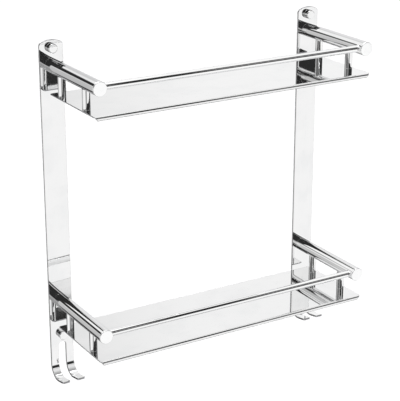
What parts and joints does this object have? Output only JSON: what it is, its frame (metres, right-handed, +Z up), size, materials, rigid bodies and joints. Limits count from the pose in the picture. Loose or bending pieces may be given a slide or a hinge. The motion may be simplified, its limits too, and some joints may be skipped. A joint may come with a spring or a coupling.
{
  "type": "wall shelf rack",
  "caption": "Polished steel wall rack with flat shelves hung below round arms on short posts, thin front rails, flat wall plates, cap nuts and curled towel hooks.",
  "frame": {"origin": "middle of the four wall fixings, on the wall plane at the back of the wall plates", "axes": "+Z up, +Y into the wall, the rack's front faces -Y, +X to the right as seen from the front"},
  "size_m": [0.416, 0.1345, 0.4545],
  "materials": {
    "wall_plate": "mirror polish",
    "arm": "mirror polish",
    "arm_cap": "mirror polish",
    "post": "mirror polish",
    "rail": "mirror polish",
    "shelf": "mirror polish",
    "cap_nut": "mirror polish",
    "plug": "turned",
    "hardware": "satin"
  },
  "bodies": {
    "root": {"left_wall_plate": "wall_plate", "right_wall_plate": "wall_plate", "upper_left_arm": "arm", "upper_left_arm_cap": "arm_cap", "upper_left_arm_plug": "plug", "upper_left_rear_post": "post", "upper_left_front_post": "post", "upper_right_arm": "arm", "upper_right_arm_cap": "arm_cap", "upper_right_arm_plug": "plug", "upper_right_rear_post": "post", "upper_right_front_post": "post", "upper_rail": "rail", "upper_shelf": "shelf", "upper_shelf_washers": "hardware", "upper_shelf_screws": "hardware", "lower_left_arm": "arm", "lower_left_arm_cap": "arm_cap", "lower_left_arm_plug": "plug", "lower_left_rear_post": "post", "lower_left_front_post": "post", "lower_right_arm": "arm", "lower_right_arm_cap": "arm_cap", "lower_right_arm_plug": "plug", "lower_right_rear_post": "post", "lower_right_front_post": "post", "lower_rail": "rail", "lower_shelf": "shelf", "lower_shelf_washers": "hardware", "lower_shelf_screws": "hardware", "arm_screws": "hardware", "wall_cap_nuts": "cap_nut"}
  },
  "joints": []
}
